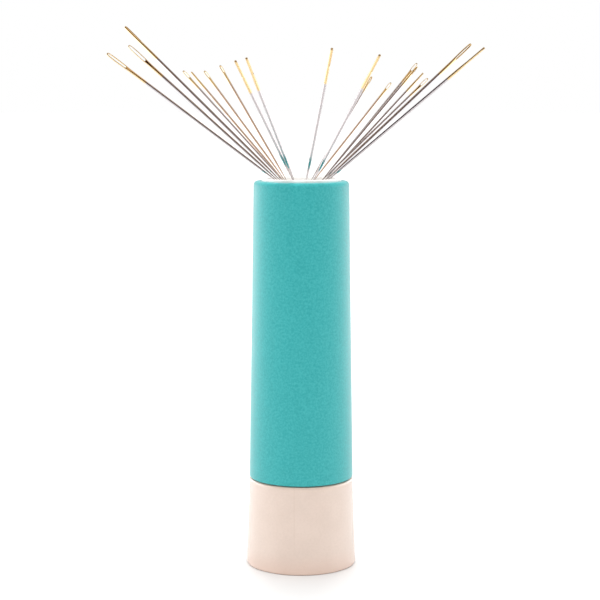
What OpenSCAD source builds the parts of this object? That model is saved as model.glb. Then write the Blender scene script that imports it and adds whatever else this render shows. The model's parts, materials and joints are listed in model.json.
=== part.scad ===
// Twist-up magnetic needle case with its needles fanned out at the mouth.
// Millimetres, +Z up. The origin is the centre of the underside and -Y is the front.
// The sleeve turns on the base. Two helical slots in its inner tube push the lugs of
// the magnet carrier up or down, and straight slots in the guide tube stop it turning.

/* [Outside] */
// Height of the coloured sleeve's rim above the table
case_h = 95; // [92:1:120]
// Height of the cream base, up to the seam
base_h = 21.65; // [19:0.05:28]
// Room from the spiral tube's outside to the case's outside at the seam
seam_room = 3.04; // [2.94:0.01:6.24]
// How far the base's side flares out from the seam to the table
foot_flare = 0.7; // [0.5:0.05:2]
// How far the sleeve's side draws in from the seam to the rim
mouth_draw = 1.15; // [0.6:0.05:1.2]
// Wall of the coloured sleeve
sleeve_wall = 1.5; // [1:0.1:1.6]
// Wall of the base round its chamber
base_wall = 1.7; // [1.5:0.1:1.8]
// Running gap at the seam
seam_gap = 0.2; // [0.15:0.05:0.8]
// Rounding of the sleeve's rim
rim_round = 1; // [0.4:0.1:1.2]
// Rounding of the base's upper edge
base_edge = 0.6; // [0.3:0.1:1]
// Rounding of the base's lower edge
foot_edge = 0.4; // [0.2:0.1:0.8]
// Rounding of the sleeve's lower edge
sleeve_edge = 0.3; // [0.2:0.1:0.6]
// How far the inner ring stands above the sleeve's rim
ring_proud = 0.6; // [0.2:0.1:1.2]
// Width of each rib inside the sleeve
rib_w = 1; // [0.8:0.1:1.6]
// Number of ribs inside the sleeve
rib_n = 8; // [4:4:12]
// Depth of the sleeve's lip at the mouth
lip_h = 2.5; // [2:0.5:5]

/* [Twist mechanism] */
// Turns of the sleeve from fully raised to fully lowered
turns = 2; // [1:0.25:2]
// Gap between the lowered carrier and the locating ring on the bottom cap
low_gap = 6.6; // [5.5:0.1:9]
// Wall of the magnet carrier round the magnet
cup_wall = 1.1; // [0.9:0.05:1.6]
// Length of the magnet carrier
carrier_h = 24.5; // [22:0.5:25]
// Height of the lugs above the carrier's lower edge
lug_rise = 2.5; // [2:0.1:4]
// Diameter of the two lugs
lug_d = 2.3; // [1.6:0.1:2.6]
// How far the lugs' tips stay inside the spiral tube's outer face
lug_inset = 0.16; // [0.1:0.02:0.4]
// Bevel on the lugs' tips
lug_bevel = 0.3; // [0.1:0.1:0.5]
// Play on each side of a lug in its slots
lug_play = 0.1; // [0.06:0.01:0.2]
// Width of the sprung tongue that carries each lug
tongue_w = 3.8; // [3:0.1:4.6]
// Length of the sprung tongues
tongue_h = 15; // [10:0.5:16]
// Width of the slits beside the tongues
slit_w = 0.6; // [0.4:0.1:1]
// Radial running gap between the tubes and the carrier
run_gap = 0.08; // [0.05:0.01:0.1]
// Wall of the guide tube
guide_wall = 1; // [0.8:0.1:1.1]
// Depth of the guide tube's top below the magnet's face
guide_drop = 0.3; // [0.2:0.1:1]
// Wall of the spiral tube
spiral_wall = 1.3; // [1.2:0.1:1.4]
// Wall left round the hollow under the carrier's floor
carrier_wall = 1.3; // [1:0.1:2]
// Thickness of the carrier's floor
floor_h = 1.6; // [1:0.1:2.5]
// Depth of the relief between the carrier's two bearing bands
relief = 0.3; // [0.1:0.05:0.4]
// Height of each bearing band
band_h = 5; // [4.5:0.5:7]

/* [Keys between spiral tube and sleeve] */
// Depth of the two keyways in the spiral tube
key_d = 0.35; // [0.2:0.05:0.5]
// Length of the two keys inside the sleeve
key_h = 14; // [8:1:20]
// Gap between the sleeve's lip and the keys
key_drop = 1; // [0.5:0.5:4]

/* [Magnet] */
// Diameter of the magnet
magnet_d = 12.3; // [12.2:0.1:14]
// Thickness of the magnet
magnet_h = 3; // [2:0.5:5]
// Bevel round the magnet's edges
magnet_bevel = 0.2; // [0.1:0.05:0.5]
// Thickness of the steel plate behind the magnet
plate_h = 0.8; // [0.5:0.1:1.5]
// Depth of the magnet's face below the top of the inner ring
face_drop = 1.1; // [0.8:0.1:2]

/* [Base inside] */
// Thickness of the bottom cap
cap_h = 1.8; // [1.2:0.1:2.5]
// Width of the step that the bottom cap seats in
cap_step = 0.9; // [0.5:0.1:1.1]
// Height of the locating ring on the bottom cap
boss_h = 1.6; // [1:0.1:2]
// Thickness of the guide tube's flange
flange_h = 1.4; // [1:0.1:2]
// Gap between the guide tube's flange and the spiral tube
spiral_gap = 2.8; // [1:0.1:4]
// Height of the bearing neck under the seam
neck_h = 5; // [4.5:0.1:6]
// Thickness of the spiral tube's retaining flange
retainer_h = 1.2; // [0.8:0.1:1.6]
// Width of the spiral tube's retaining flange
retainer_w = 1; // [0.8:0.05:1.1]
// Gap above the retaining flange
thrust_gap = 0.2; // [0.1:0.05:0.4]
// Cross-section of the rubber friction ring
ring_section = 1.1; // [0.9:0.1:1.3]
// Depth of the friction ring below the seam
ring_drop = 2.2; // [1.8:0.1:2.6]
// Clearance between parts that are fixed together
fit_gap = 0.05; // [0.03:0.01:0.1]

/* [Needles] */
// Length of the long needles
long_l = 51; // [46:0.5:56]
// Length of the short needles
short_l = 41; // [36:0.5:44]
// Shaft diameter of the long needles
long_d = 0.76; // [0.6:0.02:0.8]
// Shaft diameter of the short needles
short_d = 0.6; // [0.5:0.02:0.64]
// Width across the eye of the long needles
long_head = 1.25; // [1.1:0.05:1.35]
// Width across the eye of the short needles
short_head = 0.88; // [0.8:0.02:0.96]
// Length of the eye in the long needles
long_eye = 5.6; // [4:0.1:7]
// Length of the eye in the short needles
short_eye = 2.4; // [1.6:0.1:3]
// Width of the eye in the long needles
long_slot = 0.66; // [0.5:0.02:0.7]
// Width of the eye in the short needles
short_slot = 0.4; // [0.3:0.02:0.44]
// Metal beyond the eye
eye_end = 0.45; // [0.3:0.05:0.8]
// Length of the swell under an eye, in widths of the head
swell_ratio = 2.2; // [1.5:0.1:3]
// Thickness beside an eye, in shaft diameters
flat_ratio = 0.9; // [0.7:0.05:1]
// Length of a needle's tapered point
point_h = 9; // [5:0.5:12]
// Radius of a needle's tip
tip_r = 0.04; // [0.02:0.01:0.08]
// Gap between a needle's tip and the magnet
point_gap = 0.05; // [0.03:0.01:0.1]

/* [Hidden] */
$fn = 96;

// Nested tubes, from the magnet outwards
carrier_r = magnet_d / 2 + fit_gap + cup_wall;
guide_in = carrier_r + run_gap;
guide_out = guide_in + guide_wall;
spiral_in = guide_out + run_gap;
spiral_out = spiral_in + spiral_wall;
sleeve_in = spiral_out + fit_gap;
neck_r = spiral_out + run_gap;
retainer_r = spiral_out + retainer_w;

// Outside of the case and the chamber in its base
seam_r = spiral_out + seam_room;
foot_r = seam_r + foot_flare;
mouth_r = seam_r - mouth_draw;
chamber_r = seam_r - base_wall;
cap_seat_r = chamber_r + cap_step;

// Heights with the carrier fully raised
ring_top = case_h + ring_proud;
face_z = ring_top - face_drop;
carrier_z = face_z - carrier_h;
pocket_z = face_z - magnet_h - plate_h;
lug_z = carrier_z + lug_rise;
guide_top = face_z - guide_drop;
sleeve_z = base_h + seam_gap;
neck_z = base_h - neck_h;
spiral_z = cap_h + flange_h + spiral_gap;
retainer_z = neck_z - thrust_gap - retainer_h;

// The carrier's travel, and the rise of the helical slots in one turn
travel = carrier_z - cap_h - boss_h - low_gap;
lug_low_z = lug_z - travel;
lead = travel / turns;

// Lugs and the slots that they run in
lug_r = lug_d / 2;
lug_tip_r = spiral_out - lug_inset;
slot_half = lug_r + lug_play;
slot_side = spiral_in * lead / norm([lead, 2 * PI * spiral_in]);
slot_angle = slot_half / slot_side * 180 / PI;
slices_per_turn = 48;

// Friction ring in its groove in the neck
ring_r = ring_section / 2;
ring_mid_r = spiral_out + fit_gap + ring_r;
ring_z = base_h - ring_drop;
groove_half = ring_r + 2 * fit_gap;
groove_r = ring_mid_r + ring_r + fit_gap;

// Needles: name, long or short, length as a share of its kind's, direction, lean,
// distance of the point from the magnet's centre as a share of its radius, and roll.
// The needles lean out of the mouth, and roll turns the eye about the needle.
LONG = 0;
SHORT = 1;
NEEDLES = [
    ["long_needle_1", LONG, 1.013, -175.5, 53, 0.892, 30],
    ["long_needle_2", LONG, 0.982, 172.25, 48.5, 0.856, 10],
    ["long_needle_3", LONG, 1.099, 162.75, 47.25, 0.801, 80],
    ["long_needle_4", LONG, 0.911, -110.75, 51.75, 0.736, 45],
    ["long_needle_5", LONG, 0.934, -106.25, 52, 0.877, 15],
    ["long_needle_6", LONG, 0.913, -80.5, 47.5, 0.976, 150],
    ["long_needle_7", LONG, 0.923, -66, 50.25, 0.976, 130],
    ["long_needle_8", LONG, 1.001, 16.25, 48.5, 0.926, 30],
    ["long_needle_9", LONG, 0.998, -20.75, 50.75, 0.976, 95],
    ["short_needle_1", SHORT, 1.002, 146.75, 48.5, 0.842, 45],
    ["short_needle_2", SHORT, 1.013, 139.75, 49.5, 0.883, 110],
    ["short_needle_3", SHORT, 1.019, 132.25, 49.25, 0.933, 70],
    ["short_needle_4", SHORT, 1.012, 126, 46.25, 0.976, 85],
    ["short_needle_5", SHORT, 1.03, 61, 52.25, 0.738, 175],
    ["short_needle_6", SHORT, 1.007, 52.25, 54, 0.747, 145],
    ["short_needle_7", SHORT, 1.029, 36.25, 46.25, 0.976, 150],
    ["short_needle_8", SHORT, 0.988, 32, 45.75, 0.894, 45],
    ["short_needle_9", SHORT, 0.954, 27.75, 47, 0.976, 60],
    ["short_needle_10", SHORT, 0.951, 24.25, 49.5, 0.829, 160],
];

cream = [0.94, 0.87, 0.82];
teal = [0.26, 0.68, 0.68];
steel = [0.72, 0.72, 0.74];

// Points of an arc in the profile plane, from angle a0 to a1
function arc(r, z, radius, a0, a1, n = 6) =
    [for (i = [0:n]) let (a = a0 + (a1 - a0) * i / n)
        [r + radius * cos(a), z + radius * sin(a)]];

// Outer radius of the sleeve at a height
function sleeve_r(z) = seam_r + (mouth_r - seam_r) * (z - base_h) / (case_h - base_h);

module tube(outer, inner, height) {
    difference() {
        cylinder(r = outer, h = height);
        translate([0, 0, -height])
            cylinder(r = inner, h = 3 * height);
    }
}

// Base: a tapered cup, open below for assembly, with a bearing neck at the seam

module base_shell() {
    color(cream)
        rotate_extrude()
            polygon(concat(
                [[cap_seat_r, 0]],
                arc(foot_r - foot_edge, foot_edge, foot_edge, -90, 0),
                arc(seam_r - base_edge, base_h - base_edge, base_edge, 0, 90),
                [[neck_r + base_edge / 2, base_h],
                 [neck_r, base_h - base_edge / 2],
                 [neck_r, ring_z + groove_half],
                 [groove_r, ring_z + groove_half],
                 [groove_r, ring_z - groove_half],
                 [neck_r, ring_z - groove_half],
                 [neck_r, neck_z],
                 [chamber_r, neck_z],
                 [chamber_r, cap_h],
                 [cap_seat_r, cap_h]]));
}

module bottom_cap() {
    boss_r = guide_in - 2 * fit_gap;
    root = cap_h / 2;
    color(cream)
        union() {
            cylinder(r = cap_seat_r - fit_gap, h = cap_h);
            translate([0, 0, root])
                tube(boss_r, boss_r - guide_wall, cap_h - root + boss_h);
        }
}

// One straight slot, open at the bottom so that the carrier slides in from below
module straight_slot() {
    reach = spiral_out + run_gap;
    translate([0, -slot_half, 0])
        cube([reach, 2 * slot_half, lug_z]);
    translate([0, 0, lug_z])
        rotate([0, 90, 0])
            cylinder(r = slot_half, h = reach);
}

module guide_tube() {
    color(cream)
        difference() {
            union() {
                translate([0, 0, cap_h])
                    cylinder(r = guide_out, h = guide_top - cap_h);
                translate([0, 0, cap_h])
                    cylinder(r = chamber_r - fit_gap, h = flange_h);
            }
            cylinder(r = guide_in, h = guide_top + cap_h);
            for (side = [0, 180])
                rotate([0, 0, side])
                    straight_slot();
        }
}

module friction_ring() {
    color([0.12, 0.12, 0.12])
        translate([0, 0, ring_z])
            rotate_extrude()
                translate([ring_mid_r, 0])
                    circle(r = ring_r, $fn = 32);
}

// Sleeve: the coloured shell and the helical-slot tube inside it turn together

module sleeve_skin() {
    inner_top = case_h - lip_h;
    rotate_extrude()
        polygon(concat(
            [[seam_r - sleeve_wall, sleeve_z]],
            arc(seam_r - sleeve_edge, sleeve_z + sleeve_edge, sleeve_edge, -90, 0),
            arc(mouth_r - rim_round, case_h - rim_round, rim_round, 0, 90),
            [[sleeve_in, case_h],
             [sleeve_in, inner_top],
             [sleeve_r(inner_top) - sleeve_wall, inner_top]]));
}

module outer_sleeve() {
    rib_z = sleeve_z + sleeve_edge;
    half_wall = sleeve_wall / 2;
    key_r = spiral_out - key_d + 2 * fit_gap;
    color(teal)
        union() {
            sleeve_skin();
            intersection() {
                translate([0, 0, rib_z])
                    cylinder(r1 = seam_r - half_wall, r2 = mouth_r - half_wall,
                             h = case_h - lip_h / 2 - rib_z);
                for (i = [0:rib_n - 1])
                    rotate([0, 0, 360 / rib_n * i])
                        translate([sleeve_in, -rib_w / 2, 0])
                            cube([seam_r, rib_w, case_h]);
            }
            for (side = [0, 180])
                rotate([0, 0, side])
                    translate([key_r, -rib_w / 2, case_h - lip_h - key_drop - key_h])
                        cube([sleeve_in + fit_gap - key_r, rib_w, key_h]);
        }
}

// Cutter of one helical slot: a wedge that climbs one lead in each turn
module helical_slot() {
    low = lug_low_z - slot_half;
    height = travel + 2 * slot_half;
    outer = (spiral_out + run_gap) / cos(slot_angle);
    start = -360 * (lug_z - low) / lead;
    translate([0, 0, low])
        rotate([0, 0, start])
            linear_extrude(height = height, twist = -360 * height / lead,
                           slices = ceil(slices_per_turn * height / lead), segments = 4)
                polygon([for (corner = [[guide_in, -1], [outer, -1], [outer, 1], [guide_in, 1]])
                    [corner[0] * cos(corner[1] * slot_angle),
                     corner[0] * sin(corner[1] * slot_angle)]]);
}

module spiral_tube() {
    lip = spiral_wall * 0.3;
    keyway_half = rib_w / 2 + fit_gap;
    keyway_z = case_h - lip_h - key_drop - key_h - fit_gap;
    color(cream)
        difference() {
            rotate_extrude()
                polygon(concat(
                    [[spiral_in, spiral_z],
                     [spiral_out, spiral_z],
                     [spiral_out, retainer_z],
                     [retainer_r, retainer_z],
                     [retainer_r, retainer_z + retainer_h],
                     [spiral_out, retainer_z + retainer_h]],
                    arc(spiral_out - lip, ring_top - lip, lip, 0, 90, 4),
                    arc(spiral_in + lip, ring_top - lip, lip, 90, 180, 4)));
            for (side = [0, 180])
                rotate([0, 0, side]) {
                    helical_slot();
                    translate([spiral_out - key_d, -keyway_half, keyway_z])
                        cube([2 * key_d, 2 * keyway_half, ring_top]);
                }
        }
}

// Carrier: the cup that holds the magnet, with a lug on each of two sprung tongues

module lug() {
    root = carrier_r - carrier_wall;
    rotate([0, 90, 0])
        translate([0, 0, root])
            union() {
                cylinder(r = lug_r, h = lug_tip_r - lug_bevel - root);
                translate([0, 0, lug_tip_r - lug_bevel - root])
                    cylinder(r1 = lug_r, r2 = lug_r - lug_bevel, h = lug_bevel);
            }
}

module carrier() {
    hollow_r = carrier_r - carrier_wall;
    color(cream)
        union() {
            difference() {
                translate([0, 0, carrier_z])
                    cylinder(r = carrier_r, h = carrier_h);
                translate([0, 0, carrier_z + band_h])
                    tube(2 * carrier_r, carrier_r - relief, carrier_h - 2 * band_h);
                translate([0, 0, pocket_z])
                    cylinder(r = magnet_d / 2 + fit_gap, h = 2 * (magnet_h + plate_h));
                translate([0, 0, carrier_z - floor_h])
                    cylinder(r = hollow_r, h = pocket_z - carrier_z);
                for (hand = [-1, 1])
                    translate([-2 * carrier_r, hand * (tongue_w + slit_w) / 2 - slit_w / 2,
                               carrier_z - floor_h])
                        cube([4 * carrier_r, slit_w, tongue_h + floor_h]);
            }
            for (side = [0, 180])
                translate([0, 0, lug_z])
                    rotate([0, 0, side])
                        lug();
        }
}

module backing_plate() {
    color(steel)
        translate([0, 0, pocket_z])
            cylinder(r = magnet_d / 2, h = plate_h);
}

module magnet() {
    r = magnet_d / 2;
    bevel = magnet_bevel;
    color(steel)
        translate([0, 0, pocket_z + plate_h])
            rotate_extrude()
                polygon([[0, 0], [r - bevel, 0], [r, bevel], [r, magnet_h - bevel],
                         [r - bevel, magnet_h], [0, magnet_h]]);
}

// Needles: a revolved shaft and head, flattened beside the eye and pierced through

module needle(length, d, head, eye, slot) {
    r = d / 2;
    swell = swell_ratio * head;
    swell_z = length - eye - eye_end - swell;
    flat = flat_ratio * d;
    eye_z = length - eye_end - eye + slot / 2;
    color(steel)
        difference() {
            rotate_extrude($fn = 32)
                polygon(concat(
                    [[0, 0]],
                    [for (t = [0:0.25:1]) [tip_r + (r - tip_r) * (1 - pow(1 - t, 1.5)), point_h * t]],
                    [for (t = [0:0.2:1]) [r + (head / 2 - r) * pow(sin(90 * t), 2), swell_z + swell * t]],
                    [for (a = [0:15:90]) [head / 2 * cos(a), length - head + head * sin(a)]]));
            for (hand = [0, 1])
                mirror([0, hand, 0])
                    translate([-head, flat / 2, swell_z + swell / 2])
                        cube([2 * head, head, length]);
            translate([-slot / 2, -head, eye_z])
                cube([slot, 2 * head, eye - slot]);
            for (z = [eye_z, eye_z + eye - slot])
                translate([0, 0, z])
                    rotate([90, 0, 0])
                        cylinder(r = slot / 2, h = 2 * head, center = true, $fn = 24);
        }
}

// Stands a needle on the magnet by its point, leaning out of the mouth
module placed_needle(n) {
    long = n[1] == LONG;
    rotate([0, 0, n[3]])
        translate([n[5] * magnet_d / 2, 0, face_z + point_gap])
            rotate([0, n[4], 0])
                rotate([0, 0, n[6]])
                    needle(n[2] * (long ? long_l : short_l),
                           long ? long_d : short_d, long ? long_head : short_head,
                           long ? long_eye : short_eye, long ? long_slot : short_slot);
}

base_shell();
bottom_cap();
guide_tube();
friction_ring();
outer_sleeve();
spiral_tube();
carrier();
backing_plate();
magnet();
for (n = NEEDLES)
    placed_needle(n);
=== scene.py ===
# %% [markdown]
# A twist-up needle case stands on a white table with its needles fanned out of the
# mouth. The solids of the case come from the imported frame, where they already have
# their real size and place. They could be modelled once more here, but then the two
# could drift apart. So this script only dresses them: it gives the plastics and metals
# their finish, makes finer needles, and sets up camera, lights and table.

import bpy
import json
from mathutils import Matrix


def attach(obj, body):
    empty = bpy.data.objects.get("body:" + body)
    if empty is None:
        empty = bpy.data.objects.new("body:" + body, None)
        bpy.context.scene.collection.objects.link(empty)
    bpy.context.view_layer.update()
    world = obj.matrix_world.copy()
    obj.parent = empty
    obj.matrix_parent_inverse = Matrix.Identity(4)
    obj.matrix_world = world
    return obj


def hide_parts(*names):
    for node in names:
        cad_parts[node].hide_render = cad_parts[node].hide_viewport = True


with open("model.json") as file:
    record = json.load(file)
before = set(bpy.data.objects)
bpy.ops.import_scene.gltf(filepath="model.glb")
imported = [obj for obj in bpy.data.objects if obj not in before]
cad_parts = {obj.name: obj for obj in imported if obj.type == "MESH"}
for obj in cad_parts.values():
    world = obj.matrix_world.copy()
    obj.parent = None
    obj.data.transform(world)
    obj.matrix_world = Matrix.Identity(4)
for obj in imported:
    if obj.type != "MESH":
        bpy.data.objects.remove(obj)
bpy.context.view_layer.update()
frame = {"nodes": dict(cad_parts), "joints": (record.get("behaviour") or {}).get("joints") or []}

# %% [markdown]
# Blender measures in metres, but a needle case is measured in millimetres, so small
# sizes are written in millimetres times MM. The Standard view transform shows colours
# as they are written, which keeps the white of the background white.

# %% Modules and units
import json
from math import atan2, cos, pi, radians, sin

import bmesh
import bpy
from mathutils import Matrix, Vector

MM = 0.001
scene = bpy.context.scene
scene.view_settings.view_transform = "Standard"
print("colours are shown as written:", scene.view_settings.view_transform)

# %% [markdown]
# The photograph was taken from a little above the case with a short telephoto lens, so
# the sides hardly converge. A camera 406 mm away with a 100 mm lens, tipped down by
# seven degrees, gives the same ellipses at the rim, the seam and the table.

# %% Camera
CAMERA_DISTANCE = 406 * MM
CAMERA_HEIGHT = 117.1 * MM
TIPPED_DOWN = 7.21
LEANING_SIDEWAYS = -0.05

lens = bpy.data.cameras.new("photo_lens")
lens.lens = 100
lens.sensor_width = 36
lens.clip_start = 0.01
lens.shift_x = -0.0025
camera = bpy.data.objects.new("photo_camera", lens)
camera.location = (0, -CAMERA_DISTANCE, CAMERA_HEIGHT)
camera.rotation_euler = (radians(90 - TIPPED_DOWN), radians(LEANING_SIDEWAYS), 0)
scene.collection.objects.link(camera)
scene.camera = camera
print("camera:", tuple(round(v, 4) for v in camera.location))

# %% [markdown]
# A few small helpers keep the shader cells short. feed gives a socket either a link or a
# plain value, add_node adds a node with its inputs, mix_colours goes from one colour to
# another, and new_finish starts a material from the Principled shader. A number or a
# colour that is the same everywhere on a piece goes straight on that shader's sockets,
# because a node earns its place only where something changes.

# %% Shader helpers
FIRST_COLOUR, SECOND_COLOUR, MIXED_COLOUR = 6, 7, 2


def feed(tree, socket, source):
    if isinstance(source, bpy.types.NodeSocket):
        tree.links.new(source, socket)
    else:
        socket.default_value = source


def add_node(tree, kind, inputs=None, **settings):
    node = tree.nodes.new(kind)
    for name, value in settings.items():
        setattr(node, name, value)
    for name, source in (inputs or {}).items():
        feed(tree, node.inputs[name], source)
    return node


def mix_colours(tree, factor, first, second):
    mix = add_node(tree, "ShaderNodeMix", {"Factor": factor}, data_type="RGBA")
    for place, colour in ((FIRST_COLOUR, first), (SECOND_COLOUR, second)):
        feed(tree, mix.inputs[place], (*colour, 1) if isinstance(colour, tuple) else colour)
    return mix.outputs[MIXED_COLOUR]


def new_finish(name, colour, roughness, metallic=0.0):
    finish = bpy.data.materials.new(name)
    finish.use_nodes = True
    shader = finish.node_tree.nodes["Principled BSDF"]
    shader.inputs["Base Color"].default_value = (*colour, 1)
    shader.inputs["Roughness"].default_value = roughness
    shader.inputs["Metallic"].default_value = metallic
    return finish, finish.node_tree, shader


print("shader helpers ready")

# %% [markdown]
# Most of the patterns are built from four more helpers. object_place is the place on the
# piece itself, so a pattern turns and slides with its piece. grain is a noise with spots
# of a given size. spread stretches one range of values over another and holds the ends.
# add_bump makes light and shade of a height without moving the surface.

# %% Pattern helpers
def object_place(tree):
    return add_node(tree, "ShaderNodeTexCoord").outputs["Object"]


def grain(tree, size_mm, detail):
    return add_node(tree, "ShaderNodeTexNoise", {
        "Vector": object_place(tree), "Scale": 1 / (size_mm * MM),
        "Detail": detail, "Roughness": 0.6}).outputs["Fac"]


def spread(tree, value, over, to):
    return add_node(tree, "ShaderNodeMapRange", {
        "Value": value, "From Min": over[0], "From Max": over[1],
        "To Min": to[0], "To Max": to[1]}).outputs["Result"]


def add_bump(tree, shader, height, strength, depth):
    bump = add_node(tree, "ShaderNodeBump", {
        "Height": height, "Strength": strength, "Distance": depth})
    feed(tree, shader.inputs["Normal"], bump.outputs["Normal"])


print("pattern helpers ready")

# %% [markdown]
# The sleeve is moulded in a tool with a spark-eroded surface, which leaves a fine matt
# grain. It could be real geometry, but at under half a millimetre that would take
# millions of faces. So one noise drives a small bump, a slight change of tone and a
# change of roughness, and the grain shows in soft light.

# %% Matt teal plastic
DEEP_TEAL, LIGHT_TEAL = (0.018, 0.365, 0.375), (0.044, 0.455, 0.460)

teal, tree, shader = new_finish("matt_teal_plastic", (0.05, 0.42, 0.43), 0.45)
shader.inputs["Sheen Weight"].default_value = 0.27
shader.inputs["Sheen Roughness"].default_value = 0.35
speck = grain(tree, 0.45, 3)
tone = mix_colours(tree, spread(tree, speck, (0.35, 0.65), (0, 1)), DEEP_TEAL, LIGHT_TEAL)
feed(tree, shader.inputs["Base Color"], tone)
feed(tree, shader.inputs["Roughness"], spread(tree, speck, (0.3, 0.7), (0.40, 0.54)))
add_bump(tree, shader, speck, 0.35, 0.06 * MM)
print("made", teal.name)

# %% [markdown]
# The base comes from a polished tool. Where the two halves of the tool met there is a
# parting line down the front and back. Modelling it would need a groove thinner than a
# hair, so it is a value that is 1 on the line and 0 beside it, fainter near the foot.
# calculate is the Math node, written on one line.

# %% Parting line
PARTING_LINE_X = -1.65 * MM


def calculate(tree, operation, *values):
    return add_node(tree, "ShaderNodeMath", dict(enumerate(values)),
                    operation=operation).outputs[0]


def object_axes(tree):
    return add_node(tree, "ShaderNodeSeparateXYZ", {"Vector": object_place(tree)}).outputs


def parting_line(tree, axes):
    aside = calculate(tree, "SUBTRACT", axes["X"], PARTING_LINE_X)
    hairline = spread(tree, calculate(tree, "ABSOLUTE", aside), (0.05 * MM, 0.22 * MM), (1, 0))
    above_foot = spread(tree, axes["Z"], (5 * MM, 12 * MM), (0.15, 1))
    return calculate(tree, "MULTIPLY", hairline, above_foot)


print("parting line at x =", round(PARTING_LINE_X / MM, 2), "mm")

# %% [markdown]
# The plastic of the base is a glossy, pinkish cream with very slight waviness and a
# faint fine mottling. Both change its tone, and the waviness is also a shallow bump, in
# which the parting line stands out a little. The lowest 5 mm are painted warmer and darker
# towards the foot: painted shade of the light that bounces between base and table. A
# raised index of refraction gives the plastic the strong reflections at its edges.

# %% Glossy cream plastic
DEEP_CREAM, LIGHT_CREAM = (0.708, 0.554, 0.463), (0.754, 0.596, 0.503)
# FOOT_SHADE_CREAM is painted shade at the foot; LINE_CREAM is the parting line's own colour
FOOT_SHADE_CREAM, LINE_CREAM = (0.74, 0.53, 0.43), (0.60, 0.44, 0.34)

cream, tree, shader = new_finish("glossy_cream_plastic", (0.80, 0.66, 0.56), 0.14)
shader.inputs["IOR"].default_value = 2.1
axes = object_axes(tree)
line = parting_line(tree, axes)
wave = grain(tree, 7, 1)
blotch = calculate(tree, "ADD", wave, grain(tree, 0.5, 2))
tone = mix_colours(tree, spread(tree, blotch, (0.7, 1.3), (0, 1)), DEEP_CREAM, LIGHT_CREAM)
# painted shade: the lowest 5 mm turn warmer and darker towards the foot, for light bouncing
# between base and table
tone = mix_colours(tree, spread(tree, axes["Z"], (0, 5 * MM), (0.8, 0)), tone, FOOT_SHADE_CREAM)
tone = mix_colours(tree, calculate(tree, "MULTIPLY", line, 0.18), tone, LINE_CREAM)
feed(tree, shader.inputs["Base Color"], tone)
add_bump(tree, shader, calculate(tree, "MULTIPLY_ADD", line, 0.6, wave), 0.15, 0.05 * MM)
print("made", cream.name)

# %% [markdown]
# The tubes and the carrier inside are an unpigmented bearing plastic, off-white and
# satin. The friction ring is greased black rubber. Both need only fine spots that
# differ a little in tone and in gloss.

# %% Inner plastic and rubber
def mottle(tree, shader, size_mm, tones, gloss):
    spots = grain(tree, size_mm, 3)
    feed(tree, shader.inputs["Base Color"], mix_colours(tree, spots, *tones))
    feed(tree, shader.inputs["Roughness"], spread(tree, spots, (0.3, 0.7), gloss))


inner, tree, shader = new_finish("offwhite_bearing_plastic", (0.88, 0.87, 0.85), 0.3)
mottle(tree, shader, 2.5, ((0.86, 0.84, 0.82), (0.91, 0.90, 0.88)), (0.24, 0.36))
rubber, tree, shader = new_finish("greased_black_rubber", (0.03, 0.03, 0.03), 0.35)
mottle(tree, shader, 0.8, ((0.022, 0.022, 0.023), (0.045, 0.044, 0.042)), (0.22, 0.5))
print("made", inner.name, "and", rubber.name)

# %% [markdown]
# The magnet is nickel-plated and picks up fine scratches from the needle points. The
# plate behind it is zinc-plated sheet. Stretching a noise in one direction turns its
# spots into scratches.

# %% Plated metals
SCRATCH_DIRECTION = (0, 0, radians(25))
SCRATCH_STRETCH = (0.12, 1, 1)
SCRATCHES_PER_METRE = 6000


def plated(name, colour, roughness, scratch_depth):
    finish, tree, shader = new_finish(name, colour, roughness, 1.0)
    stretch = add_node(tree, "ShaderNodeMapping", {
        "Vector": object_place(tree), "Rotation": SCRATCH_DIRECTION, "Scale": SCRATCH_STRETCH})
    scratch = add_node(tree, "ShaderNodeTexNoise", {
        "Vector": stretch.outputs["Vector"], "Scale": SCRATCHES_PER_METRE,
        "Detail": 3}).outputs["Fac"]
    dulled = spread(tree, scratch, (0.4, 0.7), (roughness, roughness + 0.2))
    feed(tree, shader.inputs["Roughness"], dulled)
    add_bump(tree, shader, scratch, 0.3, scratch_depth)
    return finish


nickel = plated("scratched_nickel_plate", (0.76, 0.73, 0.68), 0.12, 0.01 * MM)
zinc = plated("zinc_plated_sheet", (0.62, 0.64, 0.67), 0.3, 0.02 * MM)
print("made", nickel.name, "and", zinc.name)

# %% [markdown]
# The meshes of the case stay as the frame made them, because they carry the real size.
# Only the material on each is changed for the finish that the real piece has.

# %% Put the finishes on the case
finish_of = {
    "base_shell": cream, "bottom_cap": cream, "outer_sleeve": teal,
    "guide_tube": inner, "spiral_tube": inner, "carrier": inner,
    "friction_ring": rubber, "backing_plate": zinc, "magnet": nickel,
}
for node_name, finish in finish_of.items():
    piece = frame["nodes"][node_name]
    piece.data.materials.clear()
    piece.data.materials.append(finish)
print("dressed", len(finish_of), "solids")

# %% [markdown]
# A sewing needle is drawn steel wire, ground to a point and stamped at the other end
# into a flat head with a long eye. Needles of this kind have the head dipped in gold up
# to a ragged line, and the gold is darker and duller on the crown. An image could hold
# that edge, but it would have to be fitted to each needle. Here the edge is read from
# from_eye, a value stored along the needle. Four of the short needles look browner than
# the others, so their steel gets a warm brown: a painted reflection of the warm ceiling
# that they mirror.

# %% Gilt steel
RAGGEDNESS = 1.2 * MM
EDGE_BLUR = 0.35 * MM
GOLD, CROWN_GOLD = (0.74, 0.55, 0.29), (0.50, 0.32, 0.17)
STEEL_POLISH, GOLD_POLISH = 0.09, 0.16
BRIGHT_SHAFT = ((0.50, 0.462, 0.468), (0.56, 0.520, 0.526))
# painted reflection: a warmer, browner steel for four short needles, for the warm ceiling they
# mirror
WARM_REFLECTION_SHAFT = ((0.58, 0.440, 0.350), (0.64, 0.490, 0.395))


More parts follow.
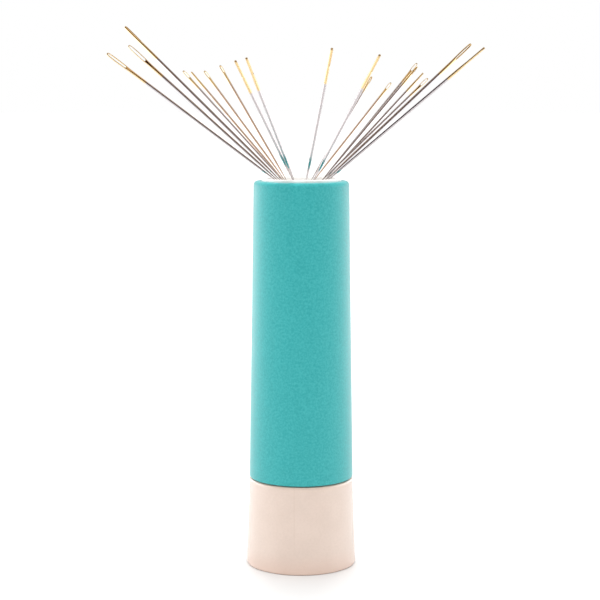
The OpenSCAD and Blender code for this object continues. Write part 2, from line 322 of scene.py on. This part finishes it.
def gilt_steel(name, gold_length, shaft):
    finish, tree, shader = new_finish(name, (0.8, 0.8, 0.8), 0.12, 1.0)
    along = add_node(tree, "ShaderNodeAttribute", attribute_name="from_eye").outputs["Fac"]
    ragged = grain(tree, 0.7, 2)
    edge = calculate(tree, "MULTIPLY_ADD", ragged, RAGGEDNESS, along)
    gold_end = gold_length + RAGGEDNESS / 2
    is_gold = spread(tree, edge, (gold_end - EDGE_BLUR, gold_end + EDGE_BLUR), (1, 0))
    is_crown = spread(tree, along, (0.1 * MM, 0.9 * MM), (0.3, 0))
    gold = mix_colours(tree, is_crown, GOLD, CROWN_GOLD)
    steel = mix_colours(tree, ragged, *shaft)
    feed(tree, shader.inputs["Base Color"], mix_colours(tree, is_gold, steel, gold))
    polish = spread(tree, is_gold, (0, 1), (STEEL_POLISH, GOLD_POLISH))
    feed(tree, shader.inputs["Roughness"], calculate(tree, "MULTIPLY_ADD", is_crown, 0.9, polish))
    return finish


long_gilt = gilt_steel("gilt_steel_long_needle", 9.3 * MM, BRIGHT_SHAFT)
short_gilt = gilt_steel("gilt_steel_short_needle", 4.7 * MM, BRIGHT_SHAFT)
# the short needles with the painted warm reflection in their steel
short_warm_reflection = gilt_steel("short_needle_steel_painted_reflection", 4.7 * MM, WARM_REFLECTION_SHAFT)
print("made", long_gilt.name, short_gilt.name, "and", short_warm_reflection.name)

# %% [markdown]
# The drawn needle is planned as a stack of rings, from the point up. The first rings
# widen in a curve to the full wire. Below the eye the head grows wider and flatter, and
# the gutter factor draws in the middle of both flat sides, which makes the shallow
# gutter under the eye. Above the eye the rings close in a rounded crown.

# %% Needle rings
POINT_LENGTH = 9
TIP_RADIUS = 0.04
FLATTENED = 0.46
CLOSED_END = 0.45
NEEDLE_SIZES = {"long": {"wire": 0.76, "head": 1.1, "eye": 5.2},
                "short": {"wire": 0.6, "head": 0.86, "eye": 2.3}}


def needle_rings(length, wire, head, eye):
    """Height, half width, half thickness and gutter factor of each ring, in mm."""
    r, wide, thick = wire / 2, head / 2, FLATTENED * wire
    eye_top = length - CLOSED_END
    eye_low = eye_top - eye
    swell = eye_low - 2.2 * head
    point = [(POINT_LENGTH * t, TIP_RADIUS + (r - TIP_RADIUS) * (1 - (1 - t) ** 1.5))
             for t in (0.1, 0.3, 0.6, 1)]
    rings = [(z, w, w, 1) for z, w in point]
    rings += [(swell * 0.6, r, r, 1), (swell, r, r, 1)]
    rings += [(swell + 1.1 * head, r + (wide - r) * 0.2, (r + thick) / 2, 0.8)]
    rings += [(eye_low - 0.35 * head, r + (wide - r) * 0.4, thick, 0.6)]
    rings += [(eye_low, r + (wide - r) * 0.6, thick, 0.8)]
    rings += [(eye_low + eye * t, wide * w, thick, 1)
              for t, w in ((0.15, 0.90), (0.5, 1), (0.85, 0.90))]
    rings += [(eye_top, wide * 0.72, thick, 1)]
    rings += [(length - 0.14, wide * 0.48, thick * 0.85, 1)]
    return rings


for kind, size in NEEDLE_SIZES.items():
    print(kind, "needle:", len(needle_rings(50, **size)), "rings")

# %% [markdown]
# The needle could be a cylinder that is pulled into shape by hand, but then each needle
# would need its own. Here it grows from a small disc at its point: the disc is extruded
# upwards ring by ring, and each new ring is given the width and thickness of its place.

# %% Grow the rings
SIDES = 12


def corner_angle(corner, wide, thick):
    """The corner's angle round an oval ring, rounded to one of the ring's SIDES."""
    steps = round(atan2(corner.y / thick, corner.x / wide) * SIDES / (2 * pi))
    return steps * 2 * pi / SIDES


def grow_rings(mesh, rings):
    bmesh.ops.create_circle(mesh, cap_ends=True, segments=SIDES, radius=TIP_RADIUS)
    cap = mesh.faces[:][0]
    last_wide = last_thick = TIP_RADIUS
    for z, wide, thick, gutter in rings:
        grown = bmesh.ops.extrude_face_region(mesh, geom=[cap, *cap.edges, *cap.verts])["geom"]
        cap = [part for part in grown if isinstance(part, bmesh.types.BMFace)][0]
        for v in cap.verts:
            angle = corner_angle(v.co, last_wide, last_thick)
            middle = gutter if abs(sin(angle)) > 0.99 else 1
            v.co = Vector((wide * cos(angle), thick * sin(angle) * middle, z))
        last_wide, last_thick = wide, thick


print("each ring has", SIDES, "corners")

# %% [markdown]
# A Boolean could punch the eye, but it leaves long thin triangles. Here the faces on both
# flat sides of the head are taken out between the ends of the eye, and the two openings
# are bridged, which cuts the eye through with clean faces around it.

# %% Cut the eye
def cut_eye(mesh, eye_low, eye_top, thick):
    openings = []
    for side in (1, -1):
        faces = [f for f in mesh.faces
                 if eye_low < f.calc_center_median().z < eye_top
                 and side * f.calc_center_median().y > 0.85 * thick]
        rim = [e for e in {e for f in faces for e in f.edges}
               if sum(g in faces for g in e.link_faces) == 1]
        inside = list({e for f in faces for e in f.edges} - set(rim))
        openings.append((faces, inside, rim))
    for faces, inside, rim in openings:
        bmesh.ops.delete(mesh, geom=faces, context="FACES_ONLY")
        bmesh.ops.delete(mesh, geom=inside, context="EDGES")
    bmesh.ops.bridge_loops(mesh, edges=[e for _, _, rim in openings for e in rim])
    bmesh.ops.recalc_face_normals(mesh, faces=mesh.faces)


def shape_needle(length, wire, head, eye):
    """A needle on the Z axis with its point at the origin: sizes in mm, mesh in metres."""
    mesh = bmesh.new()
    grow_rings(mesh, needle_rings(length, wire, head, eye))
    cut_eye(mesh, length - CLOSED_END - eye, length - CLOSED_END, FLATTENED * wire)
    from_eye = mesh.verts.layers.float.new("from_eye")
    for v in mesh.verts:
        v[from_eye] = (length - v.co.z) * MM
    bmesh.ops.scale(mesh, vec=(MM, MM, MM), verts=mesh.verts)
    return mesh


sample = shape_needle(50, **NEEDLE_SIZES["long"])
print("a long needle has", len(sample.faces), "faces before it is rounded")
sample.free()

# %% [markdown]
# Every needle has its own length, lean and roll. The frame already holds them: the hinge
# of a needle is at its point, the furthest corner of its solid is at its eye, and the
# solid is widest across the eye. Reading them there keeps each needle on its solid.

# %% Read a needle's place from its solid
CROWN_DEPTH = 0.3 * MM
HEAD_DEPTH = 3 * MM


def needle_place(node, point):
    corners = [v.co - point for v in node.data.vertices]
    length = max(c.length for c in corners)
    crown = [c for c in corners if c.length > length - CROWN_DEPTH]
    axis = sum(crown, Vector()).normalized()
    side = axis.orthogonal().normalized()
    other = axis.cross(side)
    head = [c for c in corners if c.dot(axis) > length - HEAD_DEPTH]
    xx = sum(c.dot(side) ** 2 for c in head)
    yy = sum(c.dot(other) ** 2 for c in head)
    xy = sum(c.dot(side) * c.dot(other) for c in head)
    turn = 0.5 * atan2(2 * xy, xx - yy)
    wide = side * cos(turn) + other * sin(turn)
    flat = axis.cross(wide)
    place = Matrix((wide, flat, axis)).transposed().to_4x4()
    place.translation = point
    return place, length / MM


needle_joints = [joint for joint in frame["joints"] if joint["name"].endswith("_tilt")]
print("needles in the frame:", len(needle_joints))

# %% [markdown]
# Each drawn needle takes the place of its plain solid and rides on the same body, so it
# moves with it. A Subdivision Surface rounds the rings, the crown and the rim of the eye.

# %% Make the needles
# four short needles whose steel carries the painted warm reflection
warm_reflection_needles = {"short_needle_2", "short_needle_3", "short_needle_4", "short_needle_6"}


def new_object(name, shape):
    data = bpy.data.meshes.new(name)
    shape.to_mesh(data)
    shape.free()
    made = bpy.data.objects.new(name, data)
    scene.collection.objects.link(made)
    return made


for joint in needle_joints:
    node_name = joint["child"]
    kind = "long" if node_name.startswith("long") else "short"
    place, length = needle_place(frame["nodes"][node_name], Vector(joint["pos_m"]))
    mesh = shape_needle(length, **NEEDLE_SIZES[kind])
    bmesh.ops.transform(mesh, matrix=place, verts=mesh.verts)
    for face in mesh.faces:
        face.smooth = True
    needle = new_object(node_name + "_drawn", mesh)
    needle.data.materials.append(long_gilt if kind == "long" else
                                 short_warm_reflection if node_name in warm_reflection_needles else short_gilt)
    rounding = needle.modifiers.new("rounding", "SUBSURF")
    rounding.levels = rounding.render_levels = 2
    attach(needle, joint["child"])
    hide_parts(node_name)
    print(node_name, "length", round(length, 1), "mm")

# %% [markdown]
# The case stands on a seamless white table, which starts 0.45 m in front of it. Its
# colour keeps the soft contact shadow. A glow that only the camera and mirrors see
# brings it up to white, as in the photograph: a little from 15 mm outwards, where the
# contact shadow ends, and more from 0.2 m outwards, where less light arrives.

# %% What the camera and mirrors see
def seen_or_mirrored(tree):
    ray = add_node(tree, "ShaderNodeLightPath").outputs
    seen = calculate(tree, "MAXIMUM", ray["Is Camera Ray"], ray["Is Glossy Ray"])
    return calculate(tree, "MAXIMUM", seen, ray["Is Transmission Ray"])


print("glow helper ready")

# %% White table
TABLE_FRONT = 0.45
TABLE_REACH = 4

table_sheet = bmesh.new()
bmesh.ops.create_grid(table_sheet, x_segments=4, y_segments=4, size=TABLE_REACH)
bmesh.ops.translate(table_sheet, vec=(0, TABLE_REACH - TABLE_FRONT, 0), verts=table_sheet.verts)
white_table = new_object("white_table", table_sheet)

paper, tree, shader = new_finish("white_table_paper", (0.72, 0.72, 0.72), 0.45)
from_case = add_node(tree, "ShaderNodeVectorMath", {0: object_place(tree)},
                     operation="LENGTH").outputs["Value"]
near_lift = spread(tree, from_case, (0.015, 0.05), (0.03, 0.15))
far_lift = spread(tree, from_case, (0.20, 0.45), (0, 0.36))
whole_lift = calculate(tree, "ADD", near_lift, far_lift)
shader.inputs["Emission Color"].default_value = (1, 1, 1, 1)
feed(tree, shader.inputs["Emission Strength"],
     calculate(tree, "MULTIPLY", seen_or_mirrored(tree), whole_lift))
white_table.data.materials.append(paper)
print("made", white_table.name)

# %% [markdown]
# The photograph was lit by a white tent: sides, back and top are bright, and the side
# of the camera is darker, which gives the plastic its soft bright edges and the needles
# their dark cores. The world is the tent, a little brighter where it is seen or mirrored
# than in the light it throws.

# %% Tent
TENT_LIGHT, TENT_SEEN = 0.77, 1

world = bpy.data.worlds.new("white_tent")
world.use_nodes = True
scene.world = world
sky = world.node_tree.nodes["Background"]
sky.inputs["Color"].default_value = (1, 1, 1, 1)
feed(world.node_tree, sky.inputs["Strength"],
     spread(world.node_tree, seen_or_mirrored(world.node_tree), (0, 1), (TENT_LIGHT, TENT_SEEN)))
print("tent:", world.name)

# %% [markdown]
# Six softboxes give the light its direction: two at the sides, two behind, one high
# behind and one overhead. They light the matt surfaces and are not mirrored, so that
# the needles and the base show no bright rectangles.

# %% Softboxes
AIM = Vector((0, 0, 0.06))


def softbox(name, centre, width, height, watts):
    lamp = bpy.data.lights.new(name, "AREA")
    lamp.shape = "RECTANGLE"
    lamp.size, lamp.size_y, lamp.energy = width, height, watts
    box = bpy.data.objects.new(name, lamp)
    box.location = centre
    box.rotation_euler = (AIM - Vector(centre)).to_track_quat("-Z", "Y").to_euler()
    scene.collection.objects.link(box)
    box.visible_glossy = False


softbox("left_softbox", (-0.55, 0.05, 0.16), 0.4, 0.5, 0.6)
softbox("right_softbox", (0.55, 0.05, 0.16), 0.4, 0.5, 0.25)
softbox("left_back_softbox", (-0.45, 0.50, 0.20), 0.3, 0.5, 0.55)
softbox("right_back_softbox", (0.45, 0.50, 0.20), 0.3, 0.5, 0.15)
softbox("top_back_softbox", (0, 0.45, 0.55), 0.5, 0.3, 2.8)
softbox("top_softbox", (0, -0.2, 0.6), 0.3, 0.3, 2.0)

# %% [markdown]
# Polished steel shows what stands around it, so the dark side of the room has to be
# there. It is part of a dome on the camera's side, cut off below the table and behind a
# plane that slants back over the case. It shows only in what is glossy: it casts no
# shadow and lights nothing matt.

# %% Dark room behind the camera
ROOM_RADIUS = 1.1
CUT_BELOW = {"plane_co": (0, 0, -0.3), "plane_no": (0, 0, -1)}
CUT_BEHIND = {"plane_co": (0, -0.12, 0), "plane_no": (0, 1, -0.43)}

room_shell = bmesh.new()
bmesh.ops.create_uvsphere(room_shell, u_segments=48, v_segments=32, radius=ROOM_RADIUS)
for cut in (CUT_BELOW, CUT_BEHIND):
    whole = [*room_shell.verts, *room_shell.edges, *room_shell.faces]
    bmesh.ops.bisect_plane(room_shell, geom=whole, clear_outer=True, **cut)
dark_room = new_object("dark_room", room_shell)
dark_room.visible_camera = False
dark_room.visible_diffuse = False
dark_room.visible_shadow = False
print("made", dark_room.name, "with", len(dark_room.data.polygons), "faces")

# %% [markdown]
# The room is a dark purple brown, with a warm band of ceiling that the steeper needles
# mirror, and with the bright top of the tent above that. Bands by height are enough,
# because a needle draws what it mirrors out into thin lines.

# %% Paint of the dark room
WALL_PAINT, CEILING_PAINT = (0.035, 0.010, 0.020), (0.90, 0.66, 0.46)
TENT_TOP = (0.95, 0.92, 0.86)


def glowing_finish(name):
    finish, tree, shader = new_finish(name, (0, 0, 0), 1.0)
    shader.inputs["Specular IOR Level"].default_value = 0
    return finish, tree, shader


room_paint, tree, shader = glowing_finish("dark_room_paint")
height = object_axes(tree)["Z"]
ceiling = calculate(tree, "MULTIPLY", spread(tree, height, (0.75, 0.80), (0, 1)),
                    spread(tree, height, (0.95, 0.98), (1, 0)))
walls = mix_colours(tree, ceiling, WALL_PAINT, CEILING_PAINT)
above = spread(tree, height, (1.02, 1.04), (0, 1))
feed(tree, shader.inputs["Emission Color"], mix_colours(tree, above, walls, TENT_TOP))
shader.inputs["Emission Strength"].default_value = 1.0
dark_room.data.materials.append(room_paint)
print("made", room_paint.name)

# %% [markdown]
# A white card stands on the table on either side of the case. The glossy base and the
# edges of the sleeve mirror the cards. They are brightest at the back, and the left one
# is the brighter of the two.

# %% Side cards
CARD_ASIDE = 0.2
CARD_FRONT, CARD_BACK = -0.14, 0.32
CARD_FOOT, CARD_TOP = 0.001, 0.12
CARD_BRIGHT_FROM = 0.12

for side, x, glow in (("left", -CARD_ASIDE, 3.5), ("right", CARD_ASIDE, 3.0)):
    sheet = bmesh.new()
    outline = ((CARD_FRONT, CARD_FOOT), (CARD_BACK, CARD_FOOT),
               (CARD_BACK, CARD_TOP), (CARD_FRONT, CARD_TOP))
    sheet.faces.new([sheet.verts.new((x, y, z)) for y, z in outline])
    card = new_object(side + "_card", sheet)
    card.visible_camera = card.visible_diffuse = card.visible_shadow = False
    card_paper, tree, shader = glowing_finish(side + "_card_paper")
    shader.inputs["Emission Color"].default_value = (1, 1, 1, 1)
    feed(tree, shader.inputs["Emission Strength"],
         spread(tree, object_axes(tree)["Y"], (CARD_FRONT, CARD_BRIGHT_FROM), (0.4, glow)))
    card.data.materials.append(card_paper)
    print("made", card.name)
